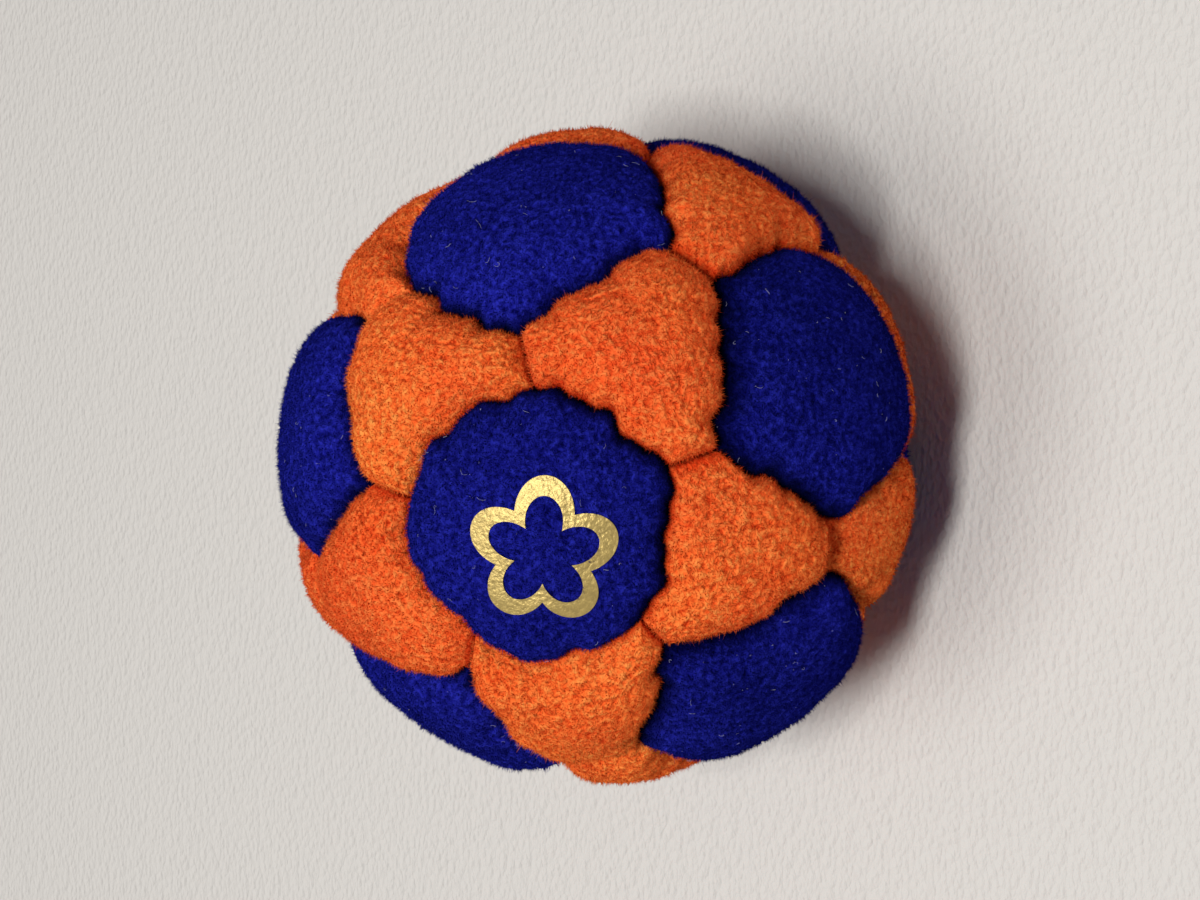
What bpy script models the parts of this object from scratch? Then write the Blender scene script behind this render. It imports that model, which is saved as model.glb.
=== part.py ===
"""A 32-panel footbag: twelve blue and twenty orange suede panels, sewn edge to edge round a fill
of loose pellets, with a gold foil mark on one blue panel. Metres, +Z up. It rests on the XY plane,
with the middle of its outline over the origin, and its near side faces -Y.

The panels follow a truncated icosahedron that is cut deep: each blue pentagon lies over a corner of
the icosahedron and each orange hexagon over a face. A corner where three panels meet is named by a
pair of blue panels (i, j): it is the one beside blue panel i, on the side of blue panel j.
"""

import math
import random
from itertools import combinations

import bmesh
import bpy
from mathutils import Euler, Matrix, Vector

# Sizes of the whole bag, in metres
CROWN_RADIUS = 0.0280  # from the middle of the bag to the crown of a panel
SEAM_DEPTH = 0.0020  # from a crown down to a seam
SHOULDER_WIDTH = 0.0056  # from a seam to where its panel reaches the crown
SEAM_BOW = 0.0008  # how far a long seam bows out of its blue panel at its middle
REST_DEPTH = 0.0012  # how far the underside is pressed in where it rests
CLEARANCE = 0.0003  # between pieces that touch

# Sizes of the pieces, in metres
SUEDE_THICKNESS = 0.0009
SEAM_ALLOWANCE = 0.0016  # the turned-in edge of a panel, below the seam
THREAD_DIAMETER = 0.0004
THREAD_LEAD = 0.0008  # from a corner to where the thread leaves the long seam
MARK_RADIUS = 0.0062  # to the tips of the petals
PETAL_DEPTH = 0.0022  # from the tips in to the notches between the petals
MARK_STROKE = 0.0016
MARK_DROP = 0.0013  # from the middle of its panel to the mark's, downwards
MARK_ASIDE = 0.0009  # and towards +X
FOIL_THICKNESS = 0.0003

# Hand-made unevenness, in metres
CORNER_DRIFT = 0.0004
CROWN_DRIFT = 0.0002
UNEVENNESS_SEED = 32

# Shares and shape numbers
CORNER_SHARE = 0.43  # of the way from one blue panel's middle to the next one's
SETTLED_SHARE = 0.96  # the bag's height over its width, before the underside is pressed in
RING_SHARES = (0.92, 0.75, 0.45)  # where a panel's rings lie, from its middle out to its edge
INNER_RING_SHARE = 0.55
LONG_SEAM_SHARES = (0.0, 0.25, 0.5, 0.75)
SHORT_SEAM_SHARES = (0.0,)
SHOULDER_POWER = 2.3
CORNER_POWER = 4.0
LEAST_SEAM_SHARE = 0.001  # of the shoulder's width, so that a point on a seam keeps a distance
WELD_SHARE = 0.01  # of the clearance, within which two points of the fill are one
THREAD_SIDES = 4
PETALS = 5
STEPS_PER_PETAL = 8

# How the bag lies, in degrees: turned about X, then about Y, then about Z
LIE_X_DEG = 3.1
LIE_Y_DEG = 5.8
LIE_Z_DEG = 163.2

SHARP_EDGE_DEG = 50.0
GOLDEN_RATIO = (1 + math.sqrt(5)) / 2
SEAM_RADIUS = CROWN_RADIUS - SEAM_DEPTH
FLOOR_LEVEL = REST_DEPTH - CROWN_RADIUS * SETTLED_SHARE
LIE = Euler([math.radians(angle) for angle in (LIE_X_DEG, LIE_Y_DEG, LIE_Z_DEG)]).to_matrix()

COLOURS = {
    "blue_suede": ((0.008, 0.008, 0.150, 1.0), 0.95, 0.0),
    "orange_suede": ((0.780, 0.100, 0.012, 1.0), 0.95, 0.0),
    "thread": ((0.300, 0.030, 0.010, 1.0), 0.80, 0.0),
    "pellets": ((0.700, 0.700, 0.680, 1.0), 0.50, 0.0),
    "gold_foil": ((0.620, 0.470, 0.150, 1.0), 0.35, 1.0),
}


# Where the panels and their seams lie


def blue_middles():
    """The directions of the twelve blue panels, which are an icosahedron's corners."""
    found = []
    for near in (1, -1):
        for far in (GOLDEN_RATIO, -GOLDEN_RATIO):
            for corner in ((0, near, far), (near, far, 0), (far, 0, near)):
                found.append(LIE @ Vector(corner).normalized())
    return found


def neighbours_of(blues, i):
    """The five blue panels next to panel i, in anticlockwise order seen from outside."""
    middle = blues[i]
    across = middle.orthogonal().normalized()
    up = middle.cross(across)
    near = [j for j in range(len(blues)) if j != i and blues[j].dot(middle) > 0]
    return sorted(near, key=lambda j: math.atan2(blues[j].dot(up), blues[j].dot(across)))


def seam_corners(blues, chance):
    """The sixty directions where three panels meet, each a little off its even place."""
    corners = {}
    for i, middle in enumerate(blues):
        for j in neighbours_of(blues, i):
            even = middle.lerp(blues[j], CORNER_SHARE).normalized()
            drift = Vector([chance.uniform(-1, 1) for _ in even]) * (CORNER_DRIFT / SEAM_RADIUS)
            corners[i, j] = (even + drift).normalized()
    return corners


def seam_points(blues, corners, start, end):
    """The directions along one seam, from its first corner up to its last, which is left out.
    A long seam has one blue panel's corners at both ends, and bows away from that panel."""
    is_long = start[0] == end[0]
    points = []
    for share in LONG_SEAM_SHARES if is_long else SHORT_SEAM_SHARES:
        point = corners[start].slerp(corners[end], share)
        if is_long:
            point += away_from(blues[start[0]], point) * seam_bow(share)
        points.append(point.normalized())
    return points


def seam_bow(share):
    """The angle by which a long seam has bowed at this share of its length."""
    return SEAM_BOW / SEAM_RADIUS * (1 - (2 * share - 1) ** 2)


def away_from(middle, direction):
    return (direction - middle * direction.dot(middle)).normalized()


class Panel:
    """One panel: its corners in anticlockwise order, its outline and its middle."""

    def __init__(self, blues, corners, names, is_blue, crown):
        self.crown = crown
        self.is_blue = is_blue
        self.seams = list(zip(names, names[1:] + names[:1]))
        self.ends = [(corners[start], corners[end]) for start, end in self.seams]
        self.outline = []
        for start, end in self.seams:
            self.outline += seam_points(blues, corners, start, end)
        self.middle = sum((corners[name] for name in names), Vector()).normalized()

    def inset(self, distance):
        """The outline drawn in by this distance, measured at the seams' radius."""
        points = []
        count = len(self.outline)
        for n, point in enumerate(self.outline):
            before = self.outline[n - 1]
            after = self.outline[(n + 1) % count]
            first = before.cross(point).normalized()
            second = point.cross(after).normalized()
            mitre = (first + second) / (1 + first.dot(second))
            points.append((point + mitre * (distance / SEAM_RADIUS)).normalized())
        return points

    def seam_distance(self, direction):
        """How far a direction is from the panel's seams, eased where two seams are near."""
        nearness = 0.0
        for (start, end), (first, last) in zip(self.seams, self.ends):
            normal = first.cross(last).normalized()
            along = math.atan2(direction.dot(normal.cross(first)), direction.dot(first))
            share = min(max(along / first.angle(last), 0.0), 1.0)
            distance = math.asin(direction.dot(normal))
            if start[0] == end[0]:
                distance += seam_bow(share) * (1 if self.is_blue else -1)
            distance = max(distance * SEAM_RADIUS, LEAST_SEAM_SHARE * SHOULDER_WIDTH)
            nearness += (distance / SHOULDER_WIDTH) ** -CORNER_POWER
        return nearness ** (-1 / CORNER_POWER) * SHOULDER_WIDTH

    def skin_radius(self, direction):
        """From the middle of the bag to the outside of the suede."""
        rest = 1 - min(self.seam_distance(direction) / SHOULDER_WIDTH, 1.0)
        rise = (1 - rest**SHOULDER_POWER) ** (1 / SHOULDER_POWER)
        return SEAM_RADIUS + (self.crown - SEAM_RADIUS) * rise


def make_panels(blues, corners, chance):
    panels = []
    for i in range(len(blues)):
        names = [(i, j) for j in neighbours_of(blues, i)]
        crown = CROWN_RADIUS + chance.uniform(-CROWN_DRIFT, CROWN_DRIFT)
        panels.append(Panel(blues, corners, names, True, crown))
    for i, j, k in combinations(range(len(blues)), 3):
        if min(blues[i].dot(blues[j]), blues[j].dot(blues[k]), blues[k].dot(blues[i])) < 0:
            continue
        if blues[i].cross(blues[j]).dot(blues[k]) < 0:
            j, k = k, j
        names = [(i, j), (j, i), (j, k), (k, j), (k, i), (i, k)]
        crown = CROWN_RADIUS + chance.uniform(-CROWN_DRIFT, CROWN_DRIFT)
        panels.append(Panel(blues, corners, names, False, crown))
    return panels


# Meshes


def settled(direction, radius):
    """A point of the bag, which slumps a little under its own weight."""
    return Matrix.Diagonal((1, 1, SETTLED_SHARE)) @ (direction * radius)


def ring_of(bm, directions, radius_of):
    return [bm.verts.new(settled(d, radius_of(d))) for d in directions]


def band(bm, outer, inner):
    """The faces from one ring in to the next. Both run anticlockwise seen from outside."""
    count = len(outer)
    return [
        bm.faces.new((outer[n], outer[(n + 1) % count], inner[(n + 1) % count], inner[n]))
        for n in range(count)
    ]


def fan(bm, ring, tip):
    count = len(ring)
    return [bm.faces.new((ring[n], ring[(n + 1) % count], tip)) for n in range(count)]


def drawn_in(outline, middle, share):
    """The outline's directions brought towards the middle, keeping this share of the way."""
    return [middle.lerp(point, share).normalized() for point in outline]


def press_flat(bm, faces, level):
    """Splits faces along a level plane, and lays what was under the plane onto it."""
    verts = {vert for face in faces for vert in face.verts}
    edges = {edge for face in faces for edge in face.edges}
    geometry = [*verts, *edges, *faces]
    bmesh.ops.bisect_plane(bm, geom=geometry, plane_co=(0, 0, level), plane_no=(0, 0, 1))
    for vert in verts:
        vert.co.z = max(vert.co.z, level)


def dome(bm, panel, outline, shares, depth):
    """A skin from the outline up to the panel's middle, this deep below the outer face."""

    def radius_of(direction):
        return panel.skin_radius(direction) - depth

    rim = ring_of(bm, outline, radius_of)
    rings = [rim]
    faces = []
    for share in shares:
        rings.append(ring_of(bm, drawn_in(outline, panel.middle, share), radius_of))
        faces += band(bm, rings[-2], rings[-1])
    tip = bm.verts.new(settled(panel.middle, radius_of(panel.middle)))
    faces += fan(bm, rings[-1], tip)
    return rim, faces


def finish(bm, name, material, centre):
    """Makes the object, faces outward and smooth, as a child of the bag's centre."""
    bmesh.ops.triangulate(bm, faces=bm.faces)
    bmesh.ops.recalc_face_normals(bm, faces=bm.faces)
    mesh = bpy.data.meshes.new(name)
    bm.to_mesh(mesh)
    bm.free()
    mesh.shade_smooth()
    mesh.set_sharp_from_angle(angle=math.radians(SHARP_EDGE_DEG))
    mesh.materials.append(material)
    made = bpy.data.objects.new(name, mesh)
    made.parent = centre
    bpy.context.scene.collection.objects.link(made)
    return made


def make_suede(panel, name, material, centre):
    """A domed sheet of suede, with its edge turned in to where the seam is sewn."""
    bm = bmesh.new()
    outer_outline = panel.inset(CLEARANCE / 2)
    inner_outline = panel.inset(CLEARANCE / 2 + SUEDE_THICKNESS)
    outer_rim, outer_faces = dome(bm, panel, outer_outline, RING_SHARES, 0.0)
    inner_rim, inner_faces = dome(bm, panel, inner_outline, [INNER_RING_SHARE], SUEDE_THICKNESS)

    def hem_radius(_):
        return SEAM_RADIUS - SEAM_ALLOWANCE

    outer_hem = ring_of(bm, outer_outline, hem_radius)
    inner_hem = ring_of(bm, inner_outline, hem_radius)
    band(bm, outer_hem, outer_rim)
    band(bm, inner_hem, outer_hem)
    band(bm, inner_rim, inner_hem)
    press_flat(bm, outer_faces, FLOOR_LEVEL)
    press_flat(bm, inner_faces, FLOOR_LEVEL + SUEDE_THICKNESS)
    return finish(bm, name, material, centre)


def make_fill(panels, name, material, centre):
    """The pellets as one body: a lobe in each panel, with grooves that clear hems and thread."""
    bm = bmesh.new()
    depth = SUEDE_THICKNESS + CLEARANCE
    thread_room = SEAM_ALLOWANCE + THREAD_DIAMETER + 2 * CLEARANCE

    def groove_radius(_):
        return SEAM_RADIUS - thread_room

    lobe_faces = []
    for panel in panels:
        outline = panel.inset(CLEARANCE / 2 + depth)
        rim, faces = dome(bm, panel, outline, [INNER_RING_SHARE], depth)
        foot = ring_of(bm, outline, groove_radius)
        seam_line = ring_of(bm, panel.outline, groove_radius)
        band(bm, foot, rim)
        band(bm, seam_line, foot)
        lobe_faces += faces
    bmesh.ops.remove_doubles(bm, verts=bm.verts, dist=CLEARANCE * WELD_SHARE)
    press_flat(bm, lobe_faces, FLOOR_LEVEL + depth)
    return finish(bm, name, material, centre)


def thread_route(blues, corners, i):
    """The directions of the thread round blue panel i, as a closed loop. It follows the panel's
    five long seams, and at each corner runs out over half of the short seam and back."""
    radius = SEAM_RADIUS - SEAM_ALLOWANCE - CLEARANCE - THREAD_DIAMETER / 2
    half_spacing = (THREAD_DIAMETER + CLEARANCE) / 2
    route = []
    around = neighbours_of(blues, i)
    for n, j in enumerate(around):
        corner = corners[i, j]
        tip = corner.lerp(corners[j, i], 0.5).normalized()
        along = (tip - corner).normalized()
        aside = tip.cross(along)
        bend = tip - along * ((half_spacing + THREAD_DIAMETER / 2 + CLEARANCE / 2) / radius)
        turn = half_spacing / radius
        route += [bend - aside * turn, bend + along * turn, bend + aside * turn]
        start, end = (i, j), (i, around[(n + 1) % len(around)])
        lead = THREAD_LEAD / radius / corner.angle(corners[end])
        for share in (lead, *LONG_SEAM_SHARES[1:], 1 - lead):
            point = corner.slerp(corners[end], share)
            route.append(point + away_from(blues[i], point) * seam_bow(share))
    return [point.normalized() * radius for point in route]


def make_thread(route, name, material, centre):
    """A closed tube along the route."""
    bm = bmesh.new()
    rings = []
    for n, point in enumerate(route):
        up = point.normalized()
        ahead = (route[(n + 1) % len(route)] - route[n - 1]).normalized()
        aside = ahead.cross(up).normalized()
        ring = []
        for side in range(THREAD_SIDES):
            angle = 2 * math.pi * side / THREAD_SIDES
            around = aside * math.cos(angle) + up * math.sin(angle)
            place = point + around * (THREAD_DIAMETER / 2)
            ring.append(bm.verts.new(settled(place, 1)))
        rings.append(ring)
    for n in range(len(rings)):
        band(bm, rings[n - 1], rings[n])
    return finish(bm, name, material, centre)


def make_mark(panel, name, material, centre):
    """A plain five-petalled ring of foil, lying on the panel's crown."""
    bm = bmesh.new()
    downward = away_from(panel.middle, Vector((0, 0, -1)))
    aside = downward.cross(panel.middle)
    middle = panel.middle + (downward * MARK_DROP + aside * MARK_ASIDE) / CROWN_RADIUS
    outer, inner = [], []
    for step in range(PETALS * STEPS_PER_PETAL):
        angle = 2 * math.pi * step / (PETALS * STEPS_PER_PETAL)
        reach = MARK_RADIUS - PETAL_DEPTH * (1 - abs(math.cos(PETALS * angle / 2)))
        outward = aside * math.sin(angle) - downward * math.cos(angle)
        outer.append((middle + outward * (reach / CROWN_RADIUS)).normalized())
        inner.append((middle + outward * ((reach - MARK_STROKE) / CROWN_RADIUS)).normalized())

    def under(direction):
        return panel.skin_radius(direction) + CLEARANCE

    def over(direction):
        return under(direction) + FOIL_THICKNESS

    rings = [
        ring_of(bm, outer, under),
        ring_of(bm, outer, over),
        ring_of(bm, inner, over),
        ring_of(bm, inner, under),
    ]
    for n in range(len(rings)):
        band(bm, rings[n - 1], rings[n])
    return finish(bm, name, material, centre)


# The bag


def clear_scene():
    for old in list(bpy.data.objects):
        bpy.data.objects.remove(old)


def make_material(name):
    colour, roughness, metallic = COLOURS[name]
    material = bpy.data.materials.new(name)
    material.use_nodes = True
    shader = material.node_tree.nodes["Principled BSDF"]
    shader.inputs["Base Color"].default_value = colour
    shader.inputs["Roughness"].default_value = roughness
    shader.inputs["Metallic"].default_value = metallic
    material.diffuse_color = colour
    return material


def stand_on_origin(centre, pieces):
    """Moves the bag's centre so that it rests on the XY plane, centred on the origin."""
    points = [vert.co for piece in pieces for vert in piece.data.vertices]
    lowest = Vector([min(point[axis] for point in points) for axis in range(3)])
    highest = Vector([max(point[axis] for point in points) for axis in range(3)])
    middle = (lowest + highest) / 2
    centre.location = (-middle.x, -middle.y, -lowest.z)


def main():
    clear_scene()
    materials = {name: make_material(name) for name in COLOURS}
    centre = bpy.data.objects.new("bag_centre", None)
    bpy.context.scene.collection.objects.link(centre)

    chance = random.Random(UNEVENNESS_SEED)
    blues = blue_middles()
    corners = seam_corners(blues, chance)
    panels = make_panels(blues, corners, chance)

    pieces = []
    counts = {"blue": 0, "orange": 0}
    for panel in panels:
        colour = "blue" if panel.is_blue else "orange"
        counts[colour] += 1
        name = f"{colour}_panel_{counts[colour]:02d}"
        pieces.append(make_suede(panel, name, materials[f"{colour}_suede"], centre))
    for i in range(len(blues)):
        route = thread_route(blues, corners, i)
        pieces.append(make_thread(route, f"seam_thread_{i + 1:02d}", materials["thread"], centre))
    pieces.append(make_fill(panels, "pellet_fill", materials["pellets"], centre))
    pieces.append(make_mark(panels[0], "foil_mark", materials["gold_foil"], centre))
    stand_on_origin(centre, pieces)


main()
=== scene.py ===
"""A 32-panel suede footbag on a pale floor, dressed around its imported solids.

The panels follow a truncated icosahedron that is cut deep: each blue pentagon lies over a corner of
the icosahedron and each orange hexagon over a face. A corner where three panels meet is named by a
pair of blue panels (i, j): it is the one beside blue panel i, on the side of blue panel j.
"""

import math
import random
from dataclasses import dataclass
from itertools import combinations

import bmesh
import bpy
import numpy as np
from mathutils import Euler, Matrix, Vector, noise


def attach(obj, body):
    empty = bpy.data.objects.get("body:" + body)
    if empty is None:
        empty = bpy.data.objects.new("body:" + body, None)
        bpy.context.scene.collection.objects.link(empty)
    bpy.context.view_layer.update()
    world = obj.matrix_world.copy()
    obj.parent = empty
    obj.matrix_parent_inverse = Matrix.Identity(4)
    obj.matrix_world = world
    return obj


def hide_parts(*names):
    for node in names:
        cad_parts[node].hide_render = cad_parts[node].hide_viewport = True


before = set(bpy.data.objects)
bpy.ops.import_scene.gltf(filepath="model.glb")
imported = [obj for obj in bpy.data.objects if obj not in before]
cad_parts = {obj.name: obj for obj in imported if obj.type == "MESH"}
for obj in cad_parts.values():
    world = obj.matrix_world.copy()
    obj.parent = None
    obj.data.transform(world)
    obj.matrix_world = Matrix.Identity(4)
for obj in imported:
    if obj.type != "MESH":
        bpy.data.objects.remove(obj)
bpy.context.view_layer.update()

bl_info = {
    "name": "Suede Footbag",
    "version": (1, 0, 0),
    "blender": (4, 5, 0),
    "location": "View3D > Sidebar > Footbag",
    "description": "Dresses a 32-panel footbag: napped suede, a foil mark, and a plain stage",
    "category": "Object",
}

MM = 0.001
GOLDEN_RATIO = (1 + math.sqrt(5)) / 2

# The bag's pattern, as its solids have it
CROWN_RADIUS = 28.0 * MM
SEAM_DEPTH = 2.0 * MM
SEAM_BOW = 0.8 * MM
REST_DEPTH = 1.2 * MM
SUEDE_THICKNESS = 0.9 * MM
CORNER_DRIFT = 0.4 * MM
CROWN_DRIFT = 0.2 * MM
UNEVENNESS_SEED = 32
CORNER_SHARE = 0.43
SETTLED_SHARE = 0.96
CORNER_POWER = 4.0
LIE_DEG = (3.1, 5.8, 163.2)
SEAM_RADIUS = CROWN_RADIUS - SEAM_DEPTH
MIDDLE_HEIGHT = CROWN_RADIUS * SETTLED_SHARE - REST_DEPTH
LIE = Euler([math.radians(angle) for angle in LIE_DEG]).to_matrix()

# What this one bag shows where it isn't even. How far its corners lie off the pattern, in mm:
CORNER_SHIFTS_MM = {
    (5, 0): (-0.6, -0.7, 0.0),
    (0, 5): (-0.8, -1.2, -0.4),
    (5, 7): (-0.1, -0.6, -0.7),
    (7, 5): (-0.7, -0.3, 0.4),
    (7, 0): (-0.4, -0.1, -0.1),
    (0, 7): (0.3, 0.0, 0.1),
    (7, 1): (0.9, -0.7, 0.3),
    (1, 7): (0.0, -0.3, 0.1),
    (1, 0): (1.2, 0.3, 2.0),
    (0, 1): (0.5, -0.2, 0.2),
    (0, 2): (0.9, -0.7, 0.5),
    (2, 0): (0.7, -1.2, 0.5),
    (2, 6): (-0.3, 2.1, -1.2),
    (6, 2): (0.3, 1.7, -1.2),
    (6, 0): (-0.6, 0.0, 0.0),
    (0, 6): (-0.3, -0.6, 0.0),
    (5, 6): (-0.3, -0.9, 0.3),
    (6, 5): (-0.7, -0.5, 0.5),
    (5, 11): (0.2, -0.3, -1.9),
    (11, 5): (0.5, 1.9, -0.2),
    (11, 7): (-0.3, 0.7, -2.1),
    (7, 11): (1.2, 1.3, -1.5),
    (1, 2): (0.4, -0.8, 0.5),
    (2, 1): (-0.1, 0.9, 0.1),
    (7, 3): (-1.9, 1.3, -1.9),
    (3, 7): (-2.2, 0.8, -1.8),
    (5, 10): (0.8, 0.2, -2.3),
    (10, 5): (0.5, -0.4, -1.4),
    (1, 3): (0.5, 0.6, -1.1),
}

# How far its long seams bow out of their blue panel, in mm. The seam (i, j, k) is blue panel i's,
# between its corners on the sides of j and k.
SEEN_BOWS_MM = {
    (0, 5, 7): 0.9,
    (0, 1, 7): 1.0,
    (0, 1, 2): 2.4,
    (0, 2, 6): 1.7,
    (0, 5, 6): 1.8,
    (1, 0, 7): -0.5,
    (1, 0, 2): 0.0,
    (2, 0, 1): -1.3,
    (2, 0, 6): -1.4,
    (5, 0, 7): -0.6,
    (5, 0, 6): 0.5,
    (5, 7, 11): 0.7,
    (6, 0, 2): 0.0,
    (6, 0, 5): -1.4,
    (7, 0, 1): 0.0,
    (7, 0, 5): 0.0,
    (7, 5, 11): 1.3,
    (5, 6, 10): 3.2,
    (5, 10, 11): 1.2,
    (11, 5, 7): 1.9,
    (7, 3, 11): 2.1,
    (1, 3, 8): 2.0,
}

# How much steeper than it would be a blue panel rises from a long seam
SEEN_BLUE_EASES = {
    (0, 1, 2): 1.3,
    (0, 1, 7): 0.6,
    (0, 2, 6): 1.3,
    (0, 5, 6): 1.3,
    (0, 5, 7): 0.8,
    (1, 0, 2): 0.6,
    (1, 0, 7): 0.6,
    (2, 0, 1): 0.8,
    (2, 0, 6): 1.4,
    (2, 1, 8): 1.6,
    (2, 4, 6): 1.8,
    (5, 0, 7): 0.8,
    (6, 2, 4): 1.6,
    (7, 0, 1): 0.6,
    (7, 0, 5): 0.4,
    (7, 5, 11): 0.7,
}

# The same for an orange panel and the short seam between two blue ones, with its third blue panel
SEEN_SHORT_EASES = {
    ((0, 1), 2): 1.1,
    ((0, 1), 7): 1.4,
    ((0, 2), 1): 1.9,
    ((0, 2), 6): 1.0,
    ((0, 5), 6): 1.2,
    ((0, 5), 7): 2.2,
    ((0, 6), 2): 1.4,
    ((0, 6), 5): 1.7,
    ((0, 7), 1): 0.35,
    ((0, 7), 5): 1.6,
    ((1, 7), 0): 1.3,
    ((1, 7), 3): 0.3,
    ((5, 6), 0): 1.6,
    ((5, 6), 10): 0.7,
    ((5, 7), 0): 1.2,
    ((5, 7), 11): 0.35,
}

# How much higher its crowns stand, in mm. A blue panel goes by its own number, and an orange one by
# those of the three blue panels round it.
SEEN_CROWN_RISES_MM = {
    (2,): -0.2,
    (3,): -0.7,
    (7,): 0.3,
    (11,): 0.3,
    (1, 3, 7): -0.3,
    (1, 3, 8): -0.4,
    (2, 4, 6): 0.5,
    (3, 7, 11): -0.25,
    (5, 6, 10): -0.5,
    (5, 7, 11): 0.6,
    (5, 10, 11): 0.6,
}

# How warm a panel's colour is, from 0 to 1. A warmer panel is also lighter: partly painted light on
# the lit panels, partly the panel's own tone.
SEEN_WARMTHS = {
    (0,): 0.4,
    (5,): 0.9,
    (7,): 0.3,
    (0, 1, 2): 0.6,
    (0, 1, 7): 0.35,
    (0, 2, 6): 0.3,
    (0, 5, 6): 0.8,
    (0, 5, 7): 0.25,
    (1, 3, 7): 0.45,
    (5, 7, 11): 0.4,
}

# The suede's fine form
SEAM_GAP = 0.03 * MM
LEAST_DISTANCE = 0.005 * MM
BLUE_CUTS = 63
ORANGE_CUTS = 49
INNER_RING_SHARES = (0.66, 0.5)
FINE_SEAM_DEPTH = 3.6 * MM
FINE_SHOULDER_WIDTH = 6.2 * MM
FINE_SHOULDER_POWER = 2.0
FINE_RIM_RADIUS = CROWN_RADIUS - FINE_SEAM_DEPTH
BLUE_SEAM_EASE = 1.0
ORANGE_SEAM_EASE = 1.25
SHORT_SEAM_EASES = (0.8, 1.8)
STITCHES_PER_LONG_SEAM = 6
STITCH_PULLS = (0.4, 1.0)
PUCKER_REACH = 3
WAVES_PER_LONG_SEAM = (1, 2, 3, 5)
WAVE_HEIGHTS = (0.3, 1.0)
WANDER_TAPER = 2.0
WARMTHS = (0.25, 0.75)
SWATHE_SIZE = 9.0 * MM
SWATHE_SHARE = 0.5
# How far from a seam the painted shade reaches
SEAM_SHADE = 1.2 * MM
RELIEF_REACH = 0.2 * FINE_SHOULDER_WIDTH
TUFT_SIZE = 0.48 * MM
COARSE_GRAIN = 1.4
FINE_GRAIN = 0.7
SWELL_SIZE = 4.0 * MM
ON_EDGE = 1e-5
AT_MIDDLE = 1e-6

# Seeds of the noises. A vector's noise takes three in a row, and the grain two.
GRAIN_SEED = 1
SWELL_SEED = 5
BRUSH_SEED = 11
CRINKLE_SEED = 21
SWATHE_SEED = 31
ORANGE_NAP_SEED = 100

# The nap's fibres, in shares of their set size, and what makes them lean
MARKED_PANEL = 1
FIBRE_ROOT = 0.15
FIBRE_LENGTHS = (0.55, 1.25)
FIBRE_WIDTHS = (0.7, 1.3)
PIT_LENGTH = 0.75
TUFT_LENGTH = 0.35
GATHER_STEP = TUFT_SIZE / 4
GATHER_LEAN = 1.1
BRUSH_LEAN = 0.9
LOOSE_LEAN = 0.28
STRAY_SHARE = 0.05
STRAY_LENGTH = 1.8
STRAY_WIDTH = 0.7
# The fibres' tones: painted shade in the grain's pits and at their roots, paler tips as painted
# light, and a random part
PIT_TONE = 0.25
TUFT_TONE = 0.5
LOOSE_TONE = 0.16
ROOT_TONE = 0.45
TIP_TONES = (0.25, 0.75)

# The pellets inside, and the room beside the seams that they leave for hems and thread
HEAP_SUBDIVISIONS = 7
HEAP_CLEARANCE = 0.15 * MM
THREAD_ROOM = 1.4 * MM
HEM_ROOM = (1.2 * MM, 2.2 * MM)
PELLET_SPACING = 3.0 * MM
PELLET_RADIUS = 2.0 * MM
HEAP_FLOOR = SUEDE_THICKNESS + HEAP_CLEARANCE

# The thread in the seams
THREAD_DIAMETER = 0.4 * MM
THREAD_GAP = 0.3 * MM
THREAD_RADIUS = SEAM_RADIUS - 2.1 * MM
THREAD_LEAD_SHARE = 0.07
THREAD_POINTS_PER_SEAM = 30
THREAD_BEND = 1.5
THREAD_ROUNDINGS = 3
THREAD_PLIES = 3
THREAD_LAY = 1.6 * MM
THREAD_STEP = 0.14 * MM
THREAD_SIDES = 12
PLY_DEPTH_SHARE = 0.3

# Lint on the blue suede
BLUE_PANELS = 12
LINT_PER_PANEL = 50
LINT_POINTS = 7
LINT_LENGTH = 0.9 * MM
LINT_LENGTHS = (0.3, 1.0)
LINT_LENGTH_POWER = 3
LINT_WIDTH = 0.040 * MM
LINT_WIDTHS = (0.5, 1.0)
LINT_HEIGHT = 0.8
LINT_BEND = 0.5
LINT_WAVER = 0.4
LINT_RISE = 0.25
LINT_COLOUR = (0.42, 0.44, 0.66, 1)

# The mark
MARK_RADIUS = 6.2 * MM
PETAL_DEPTH = 2.2 * MM
MARK_STROKE = 1.6 * MM
MARK_DROP = 1.3 * MM
MARK_ASIDE = 0.9 * MM
PETALS = 5
STEPS_PER_PETAL = 48
STEPS_ACROSS_STROKE = 8
FIBRE_CLEARANCE = 0.06 * MM
FOIL_RISE = 0.15 * MM
FOIL_THICKNESS = 0.05 * MM
CRINKLE_SIZE = 1.1 * MM
CRINKLE_RELIEF = 0.03 * MM
FOIL_SHARP_DEG = 50.0

# The view, in the photograph's own pixels where it says so
PICTURE_WIDTH_PX = 1200
PICTURE_HEIGHT_PX = 900
BAG_X_PX = 601
BAG_Y_PX = 457
BAG_RADIUS_PX = 328
CAMERA_DISTANCE = 8 * CROWN_RADIUS
CAMERA_ELEVATION_DEG = 50.0
CAMERA_CLIP = CAMERA_DISTANCE / 20
SENSOR_WIDTH_MM = 36.0

# The light. A lamp has its place and its size in metres, and its power in watts.
LAMPS = {
    "key": ((-0.068, -0.30, 0.87), (0.28, 0.10), 5.6),
    "fill": ((-0.16, 0.08, 0.90), (0.40, 0.40), 2.4),
}
LAMP_COLOUR = (1.0, 0.99, 0.965)
LAMP_TOP = (0, 0.01, 1)
SKY_COLOUR = (1.0, 0.86, 0.92, 1)
SKY_STRENGTH = 0.10


# Settings


def length_setting(name, description, default):
    return bpy.props.FloatProperty(
        name=name, description=description, default=default, unit="LENGTH", precision=5
    )


def colour_setting(name, description, default):
    return bpy.props.FloatVectorProperty(
        name=name, description=description, default=default, size=4, subtype="COLOR", min=0, max=1
    )


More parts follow.
